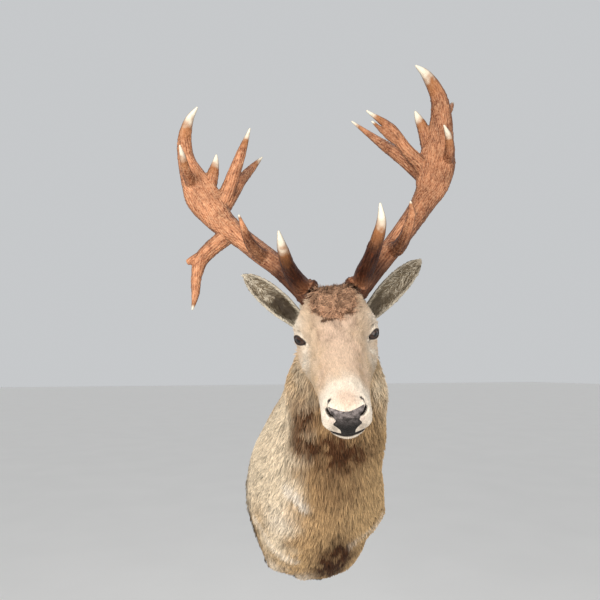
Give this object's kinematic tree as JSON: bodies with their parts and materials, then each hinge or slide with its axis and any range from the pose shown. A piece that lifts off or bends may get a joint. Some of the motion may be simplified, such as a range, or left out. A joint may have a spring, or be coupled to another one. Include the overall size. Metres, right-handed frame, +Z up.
{
  "type": "red deer stag head mount",
  "caption": "Life-size shoulder mount of a red deer stag with branching reddish antlers, its head turned to its right, on a hidden backboard.",
  "frame": {"origin": "centre of the backboard's rear face, which lies against the wall", "axes": "+Y from the object into the wall, so the shoulders look out along -Y; +Z up; +X to the stag's left"},
  "size_m": [0.6772, 0.6172, 1.2951],
  "materials": {
    "coat": "long and short fawn-brown hair",
    "ear_coat": "short grey-fawn hair",
    "pale_coat": "short cream hair",
    "nose_leather": "damp, finely grained",
    "eye": "polished",
    "antler": "grooved and pearled, satin, ivory tips",
    "board": "plain plywood"
  },
  "bodies": {
    "root": {"head": "coat", "neck": "coat", "shoulders": "coat", "ear_left": "ear_coat", "ear_right": "ear_coat", "lower_jaw": "pale_coat", "nose": "nose_leather", "eye_left": "eye", "eye_right": "eye", "backboard": "board", "antler_left_beam": "antler", "antler_left_crown": "antler", "antler_left_coronet": "antler", "antler_left_brow": "antler", "antler_left_bez": "antler", "antler_left_back": "antler", "antler_left_inner": "antler", "antler_left_innerSpur": "antler", "antler_left_low": "antler", "antler_left_front": "antler", "antler_left_spur": "antler", "antler_right_beam": "antler", "antler_right_crown": "antler", "antler_right_coronet": "antler", "antler_right_brow": "antler", "antler_right_bez": "antler", "antler_right_trez": "antler", "antler_right_knob": "antler", "antler_right_back": "antler", "antler_right_inner": "antler", "antler_right_low": "antler", "antler_right_front": "antler"}
  },
  "joints": []
}
